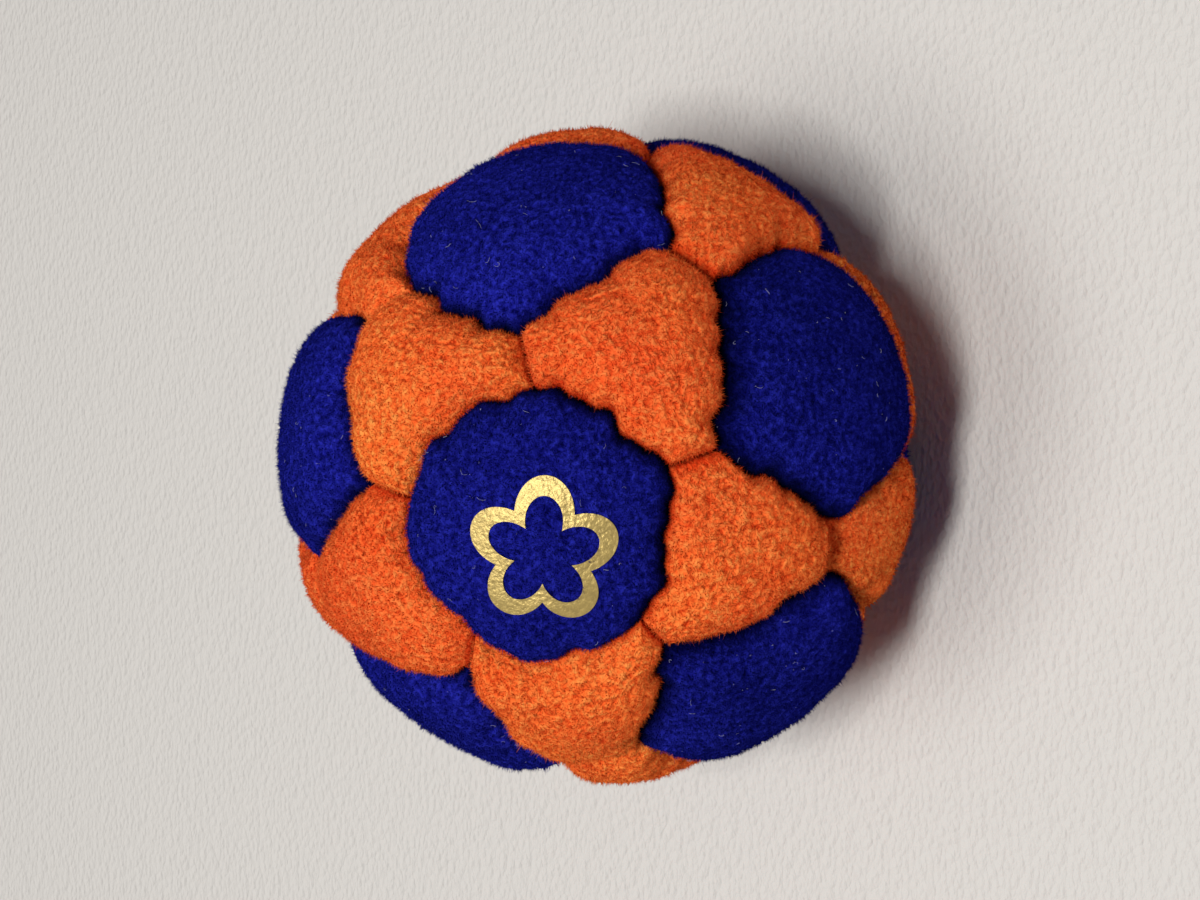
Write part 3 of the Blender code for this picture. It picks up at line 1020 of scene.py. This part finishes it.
def suede_material(name, colour, nap):
    """Napped suede: painted shade between its tufts and in its seams, paler tips as painted light,
    with a soft sheen.
    """
    material, shader, node, link = new_material(name)
    pile = node("ShaderNodeAttribute", attribute_name="pile").outputs["Fac"]
    coords = node("ShaderNodeTexCoord").outputs["Object"]
    patches = node("ShaderNodeTexNoise", {"Vector": coords, "Scale": PATCHES})
    curls = node(
        "ShaderNodeTexNoise",
        {
            "Vector": coords,
            "Scale": 1 / nap.grain_size,
            "Detail": CURL_DETAIL,
            "Distortion": CURL_TWIST,
        },
    )
    folds = node(
        "ShaderNodeTexNoise",
        {"Vector": coords, "Scale": FOLD_SHARE / nap.grain_size, "Distortion": FOLD_TWIST},
    )
    off_fold = node("ShaderNodeMath", {0: folds.outputs["Fac"], 1: 0.5}, operation="SUBTRACT")
    away = node("ShaderNodeMath", {0: off_fold.outputs[0]}, operation="ABSOLUTE")
    crack_shade = node("ShaderNodeMapRange", {"Value": away.outputs[0], "From Max": CRACK_SHARE})
    # The tone: painted shade and light from the pile and the cracks, and a random tone from the
    # curls and patches
    tone = TONE_START
    for value, weight in (
        (pile, PILE_WEIGHT),
        (curls.outputs["Fac"], CURL_WEIGHT),
        (crack_shade.outputs["Result"], CRACK_SHADE_WEIGHT),
        (patches.outputs["Fac"], PATCH_WEIGHT),
    ):
        added = node("ShaderNodeMath", {0: value, 1: weight, 2: tone}, operation="MULTIPLY_ADD")
        tone = added.outputs[0]
    stops = [
        (place, shaded(colour, share, tint))
        for place, share, tint in zip(TONE_PLACES, nap.tones, nap.tints)
    ]
    tinted = ramp(node, tone, stops)
    # Painted shade near the seams, and the warmth, which is partly painted light on the lit panels
    painted_seam_shade = node("ShaderNodeAttribute", attribute_name="painted_seam_shade").outputs["Fac"]
    warmth = node("ShaderNodeAttribute", attribute_name="warmth").outputs["Fac"]
    shade = ramp(node, painted_seam_shade, nap.seam_shade_stops)
    warmed_and_lit = ramp(node, warmth, ((0, nap.warmth_and_light_tints[0]), (1, nap.warmth_and_light_tints[1])))
    shadowed = tinted
    for factor in (shade, warmed_and_lit):
        times = node("ShaderNodeVectorMath", {0: shadowed, 1: factor}, operation="MULTIPLY")
        shadowed = times.outputs[0]
    lint = node("ShaderNodeAttribute", attribute_name="lint").outputs["Fac"]
    flecked = node(
        "ShaderNodeMix", {0: lint, "A": shadowed, "B": LINT_COLOUR}, data_type="RGBA"
    )
    bump = node("ShaderNodeBump", {"Height": tone, "Strength": 1.0, "Distance": SUEDE_BUMP})
    link(flecked.outputs["Result"], shader.inputs["Base Color"])
    link(bump.outputs["Normal"], shader.inputs["Normal"])
    shader.inputs["Roughness"].default_value = 0.95
    shader.inputs["Specular IOR Level"].default_value = 0.0
    shader.inputs["Sheen Weight"].default_value = nap.sheen
    shader.inputs["Sheen Roughness"].default_value = 0.35
    shader.inputs["Sheen Tint"].default_value = nap.sheen_tint
    return material


# The other materials: how fine their noises are, per metre, and their tones at places of the noise
FOIL_CRINKLES = 2800.0
FOIL_TONES = ((0.3, 0.8), (0.7, 1.12))
FOIL_BUMP = 0.12 * MM
THREAD_FIBRES = 4000.0
THREAD_TONES = ((0.3, 0.6), (0.7, 1.2))
PELLET_SCUFFS = 900.0
SCUFF_WEIGHT = -0.4
# The pellets' tones run from pale to painted shade in the gaps
PELLET_TONES = ((0.0, 1.1), (0.8, 0.3))
FLOOR_STRETCH = (0.75, 1.15, 1.0)
FLOOR_PEBBLES = 1300.0
FLOOR_SWELLS = 2000.0
FLOOR_BUMP = 0.25 * MM


def toned(colour, tones):
    """Stops of a ramp that makes a colour darker and lighter."""
    return [(place, shaded(colour, share)) for place, share in tones]


def foil_material():
    """Crinkled gold foil."""
    material, shader, node, link = new_material("gold_foil")
    coords = node("ShaderNodeTexCoord").outputs["Object"]
    crinkle = node("ShaderNodeTexNoise", {"Vector": coords, "Scale": FOIL_CRINKLES, "Detail": 3.0})
    tinted = ramp(node, crinkle.outputs["Fac"], toned(colours().foil, FOIL_TONES))
    bump = node(
        "ShaderNodeBump",
        {"Height": crinkle.outputs["Fac"], "Strength": 1.0, "Distance": FOIL_BUMP},
    )
    link(tinted, shader.inputs["Base Color"])
    link(bump.outputs["Normal"], shader.inputs["Normal"])
    shader.inputs["Metallic"].default_value = 0.5
    shader.inputs["Roughness"].default_value = 0.45
    return material


def thread_material():
    """Waxed thread, with its twist."""
    material, shader, node, link = new_material("thread")
    coords = node("ShaderNodeTexCoord").outputs["Object"]
    twist = node("ShaderNodeTexNoise", {"Vector": coords, "Scale": THREAD_FIBRES})
    tinted = ramp(node, twist.outputs["Fac"], toned(colours().thread, THREAD_TONES))
    link(tinted, shader.inputs["Base Color"])
    shader.inputs["Roughness"].default_value = 0.6
    return material


def pellet_material():
    """Loose pellets, scuffed where they rub, with painted shade in the gaps between them."""
    material, shader, node, link = new_material("pellets")
    painted_gap_shade = node("ShaderNodeAttribute", attribute_name="painted_gap_shade").outputs["Fac"]
    coords = node("ShaderNodeTexCoord").outputs["Object"]
    scuffs = node("ShaderNodeTexNoise", {"Vector": coords, "Scale": PELLET_SCUFFS, "Detail": 3.0})
    inputs = {0: scuffs.outputs["Fac"], 1: SCUFF_WEIGHT, 2: painted_gap_shade}
    tone = node("ShaderNodeMath", inputs, operation="MULTIPLY_ADD")
    tinted = ramp(node, tone.outputs[0], toned(colours().pellets, PELLET_TONES))
    link(tinted, shader.inputs["Base Color"])
    shader.inputs["Roughness"].default_value = 0.5
    return material


def floor_material():
    """A pale floor with a fine pebbled grain."""
    material, shader, node, link = new_material("pale_floor")
    coords = node("ShaderNodeTexCoord").outputs["Object"]
    drawn = node(
        "ShaderNodeVectorMath", {0: coords, 1: FLOOR_STRETCH}, operation="MULTIPLY"
    ).outputs[0]
    pebbles = node("ShaderNodeTexVoronoi", {"Vector": drawn, "Scale": FLOOR_PEBBLES}, feature="F1")
    swell = node("ShaderNodeTexNoise", {"Vector": drawn, "Scale": FLOOR_SWELLS, "Detail": 2.0})
    height = node(
        "ShaderNodeMath",
        {0: pebbles.outputs["Distance"], 1: swell.outputs["Fac"]},
        operation="ADD",
    )
    bump = node(
        "ShaderNodeBump",
        {"Height": height.outputs[0], "Strength": 0.6, "Distance": FLOOR_BUMP},
    )
    link(bump.outputs["Normal"], shader.inputs["Normal"])
    shader.inputs["Base Color"].default_value = colours().floor
    shader.inputs["Roughness"].default_value = 0.7
    shader.inputs["Specular IOR Level"].default_value = 0.25
    return material


# The stage


def aimed(place, target, roll_up):
    """The matrix of a lamp or camera that looks from a place at a target, with its top that way."""
    back = (place - target).normalized()
    right = roll_up.cross(back).normalized()
    up = back.cross(right)
    turned = Matrix((right, up, back)).transposed().to_4x4()
    turned.translation = place
    return turned


def add_lamp(name, place, size, power):
    """Adds a soft lamp that points at the middle of the bag."""
    data = bpy.data.lights.new(name, "AREA")
    data.shape = "RECTANGLE"
    data.size, data.size_y = size
    data.energy = power
    data.color = LAMP_COLOUR
    lamp = bpy.data.objects.new(name, data)
    lamp.matrix_world = aimed(Vector(place), Vector((0, 0, MIDDLE_HEIGHT)), Vector(LAMP_TOP))
    bpy.context.scene.collection.objects.link(lamp)


def add_camera():
    """The camera lies on its side, as for the photograph: up in the room is left in the picture."""
    elevation = math.radians(CAMERA_ELEVATION_DEG)
    focal_px = BAG_RADIUS_PX * math.sqrt((CAMERA_DISTANCE / CROWN_RADIUS) ** 2 - 1)
    data = bpy.data.cameras.new("camera")
    data.sensor_fit = "HORIZONTAL"
    data.sensor_width = SENSOR_WIDTH_MM
    data.lens = SENSOR_WIDTH_MM * focal_px / PICTURE_WIDTH_PX
    data.clip_start = CAMERA_CLIP
    middle = Vector((0, 0, MIDDLE_HEIGHT))
    back = Vector((0, -math.cos(elevation), math.sin(elevation)))
    turned = aimed(middle + back * CAMERA_DISTANCE, middle, Vector((1, 0, 0)))
    right = turned.col[0].to_3d()
    up = turned.col[1].to_3d()
    per_pixel = CAMERA_DISTANCE / focal_px
    aside = (PICTURE_WIDTH_PX / 2 - BAG_X_PX) * per_pixel
    rise = (BAG_Y_PX - PICTURE_HEIGHT_PX / 2) * per_pixel
    turned.translation += right * aside + up * rise
    camera = bpy.data.objects.new("camera", data)
    camera.matrix_world = turned
    bpy.context.scene.collection.objects.link(camera)
    bpy.context.scene.camera = camera


class FOOTBAG_OT_blue_panels(bpy.types.Operator):
    """Make the twelve blue pentagons"""

    bl_idname = "footbag.blue_panels"
    bl_label = "Blue panels"

    def execute(self, context):
        panels, _ = make_panels()
        material = suede_material("blue_suede", colours().blue, BLUE_NAP)
        for n, panel in enumerate(panels, 1):
            mesh = suede_mesh(panel, f"blue_suede_{n:02d}", n, material)
            piece = add_piece(mesh, f"blue_panel_{n:02d}")
        return {"FINISHED"}


class FOOTBAG_OT_orange_panels(bpy.types.Operator):
    """Make the twenty orange hexagons"""

    bl_idname = "footbag.orange_panels"
    bl_label = "Orange panels"

    def execute(self, context):
        _, panels = make_panels()
        material = suede_material("orange_suede", colours().orange, ORANGE_NAP)
        for n, panel in enumerate(panels, 1):
            number = ORANGE_NAP_SEED + n
            mesh = suede_mesh(panel, f"orange_suede_{n:02d}", number, material)
            piece = add_piece(mesh, f"orange_panel_{n:02d}")
        return {"FINISHED"}


class FOOTBAG_OT_foil_mark(bpy.types.Operator):
    """Make the plain five-petalled mark of gold foil"""

    bl_idname = "footbag.foil_mark"
    bl_label = "Foil mark"

    def execute(self, context):
        blue, _ = make_panels()
        panel = blue[0]
        centre, downward, aside = mark_axes()
        bm = bmesh.new()
        steps = PETALS * STEPS_PER_PETAL
        rings = []
        for k in range(STEPS_ACROSS_STROKE + 1):
            ring = []
            for step in range(steps):
                angle = 2 * math.pi * step / steps
                reach = mark_reach(angle) - MARK_STROKE * k / STEPS_ACROSS_STROKE
                outward = aside * math.sin(angle) - downward * math.cos(angle)
                ring.append(bm.verts.new(centre + outward * (reach / CROWN_RADIUS)))
            rings.append(ring)
        for first, second in zip(rings, rings[1:]):
            for n in range(steps):
                m = (n + 1) % steps
                bm.faces.new((first[n], first[m], second[m], second[n]))
        bmesh.ops.recalc_face_normals(bm, faces=bm.faces)
        directions = unit(np.array([vert.co for vert in bm.verts]))
        pull = sizes().stitch_pull
        radius = panel.skin_radius(directions, pull)
        skin = directions * radius[:, None]
        swell = grain(skin, SWELL_SIZE, SWELL_SEED) * sizes().swell_relief
        crinkle = grain(skin, CRINKLE_SIZE, CRINKLE_SEED) * CRINKLE_RELIEF
        points = placed(directions, radius + swell + crinkle + FOIL_RISE)
        for vert, point in zip(bm.verts, points):
            vert.co = point
        bmesh.ops.solidify(bm, geom=bm.faces[:], thickness=FOIL_THICKNESS)
        bmesh.ops.recalc_face_normals(bm, faces=bm.faces)
        mesh = mesh_from(bm, "gold_foil_mark", foil_material())
        mesh.set_sharp_from_angle(angle=math.radians(FOIL_SHARP_DEG))
        add_piece(mesh, "foil_mark")
        return {"FINISHED"}


class FOOTBAG_OT_seam_threads(bpy.types.Operator):
    """Make the twelve threads, one round each blue panel"""

    bl_idname = "footbag.seam_threads"
    bl_label = "Seam threads"

    def execute(self, context):
        blue, _ = make_panels()
        material = thread_material()
        for n, panel in enumerate(blue, 1):
            rings = twisted_rings(evenly_spaced(thread_route(panel), THREAD_STEP))
            points = rings.reshape(-1, 3)
            points = placed(unit(points), np.linalg.norm(points, axis=1))
            bm = bmesh.new()
            verts = [bm.verts.new(point) for point in points]
            for start in range(0, len(verts), THREAD_SIDES):
                for side in range(THREAD_SIDES):
                    after = (side + 1) % THREAD_SIDES
                    corners = (start + side, start + after)
                    corners += (start + THREAD_SIDES + after, start + THREAD_SIDES + side)
                    bm.faces.new([verts[corner % len(verts)] for corner in corners])
            bmesh.ops.recalc_face_normals(bm, faces=bm.faces)
            mesh = mesh_from(bm, f"waxed_thread_{n:02d}", material)
            add_piece(mesh, f"seam_thread_{n:02d}")
        return {"FINISHED"}


class FOOTBAG_OT_pellets(bpy.types.Operator):
    """Make the heap of pellets that fills the panels"""

    bl_idname = "footbag.pellets"
    bl_label = "Pellets"

    def execute(self, context):
        blue, orange = make_panels()
        pull = sizes().stitch_pull
        bm = bmesh.new()
        bmesh.ops.create_icosphere(bm, subdivisions=HEAP_SUBDIVISIONS, radius=1.0)
        directions = unit(np.array([vert.co for vert in bm.verts]))
        skin = np.max([panel.skin_radius(directions, pull) for panel in blue + orange], axis=0)
        seam = np.max([panel.seam_distance(directions, pull) for panel in blue + orange], axis=0)
        first, last = HEM_ROOM
        share = np.clip((seam - first) / (last - first), 0, 1)
        share = share * share * (3 - 2 * share)
        groove = FINE_RIM_RADIUS - THREAD_ROOM
        radius = groove + (skin - SUEDE_THICKNESS - HEAP_CLEARANCE - groove) * share
        places = directions * radius[:, None] / PELLET_SPACING
        nearest = np.array([noise.voronoi(Vector(place))[0][0] for place in places])
        off_middle = np.minimum(nearest * PELLET_SPACING / PELLET_RADIUS, 1)
        radius -= PELLET_RADIUS * (1 - np.sqrt(1 - off_middle**2))
        for vert, point in zip(bm.verts, pressed(placed(directions, radius), HEAP_FLOOR)):
            vert.co = point
        mesh = mesh_from(bm, "pellet_heap", pellet_material())
        # Painted shade in the gaps between the pellets
        attribute = mesh.attributes.new("painted_gap_shade", "FLOAT", "POINT")
        attribute.data.foreach_set("value", off_middle.astype(np.float32))
        add_piece(mesh, "pellet_fill")
        return {"FINISHED"}


class FOOTBAG_OT_stage(bpy.types.Operator):
    """Lay the floor, and set the light and the camera"""

    bl_idname = "footbag.stage"
    bl_label = "Stage"

    def execute(self, context):
        scene = context.scene
        bm = bmesh.new()
        bmesh.ops.create_grid(bm, x_segments=1, y_segments=1, size=1.0)
        mesh = bpy.data.meshes.new("floor")
        bm.to_mesh(mesh)
        bm.free()
        mesh.materials.append(floor_material())
        floor = bpy.data.objects.new("floor", mesh)
        scene.collection.objects.link(floor)
        world = bpy.data.worlds.new("room")
        world.use_nodes = True
        background = world.node_tree.nodes["Background"]
        background.inputs["Color"].default_value = SKY_COLOUR
        background.inputs["Strength"].default_value = SKY_STRENGTH
        scene.world = world
        for name, (place, size, power) in LAMPS.items():
            add_lamp(name, place, size, power)
        add_camera()
        scene.view_settings.view_transform = "Standard"
        return {"FINISHED"}


STEPS = (
    FOOTBAG_OT_stage,
    FOOTBAG_OT_blue_panels,
    FOOTBAG_OT_orange_panels,
    FOOTBAG_OT_foil_mark,
    FOOTBAG_OT_seam_threads,
    FOOTBAG_OT_pellets,
)


class FOOTBAG_PT_sidebar(bpy.types.Panel):
    """Lists the steps that make the footbag"""

    bl_idname = "FOOTBAG_PT_sidebar"
    bl_label = "Footbag"
    bl_space_type = "VIEW_3D"
    bl_region_type = "UI"
    bl_category = "Footbag"

    def draw(self, context):
        for step in STEPS:
            self.layout.operator(step.bl_idname)
        for settings in (sizes(), colours()):
            for key in settings.bl_rna.properties.keys():
                if key not in ("rna_type", "name"):
                    self.layout.prop(settings, key)


CLASSES = (FootbagSizes, FootbagColours, *STEPS, FOOTBAG_PT_sidebar)


def register():
    for item in CLASSES:
        bpy.utils.register_class(item)
    bpy.types.Scene.footbag_sizes = bpy.props.PointerProperty(type=FootbagSizes)
    bpy.types.Scene.footbag_colours = bpy.props.PointerProperty(type=FootbagColours)


def unregister():
    del bpy.types.Scene.footbag_colours
    del bpy.types.Scene.footbag_sizes
    for item in reversed(CLASSES):
        bpy.utils.unregister_class(item)


def main():
    register()
    for step in STEPS:
        group, name = step.bl_idname.split(".")
        getattr(getattr(bpy.ops, group), name)()


if __name__ == "__main__":
    main()
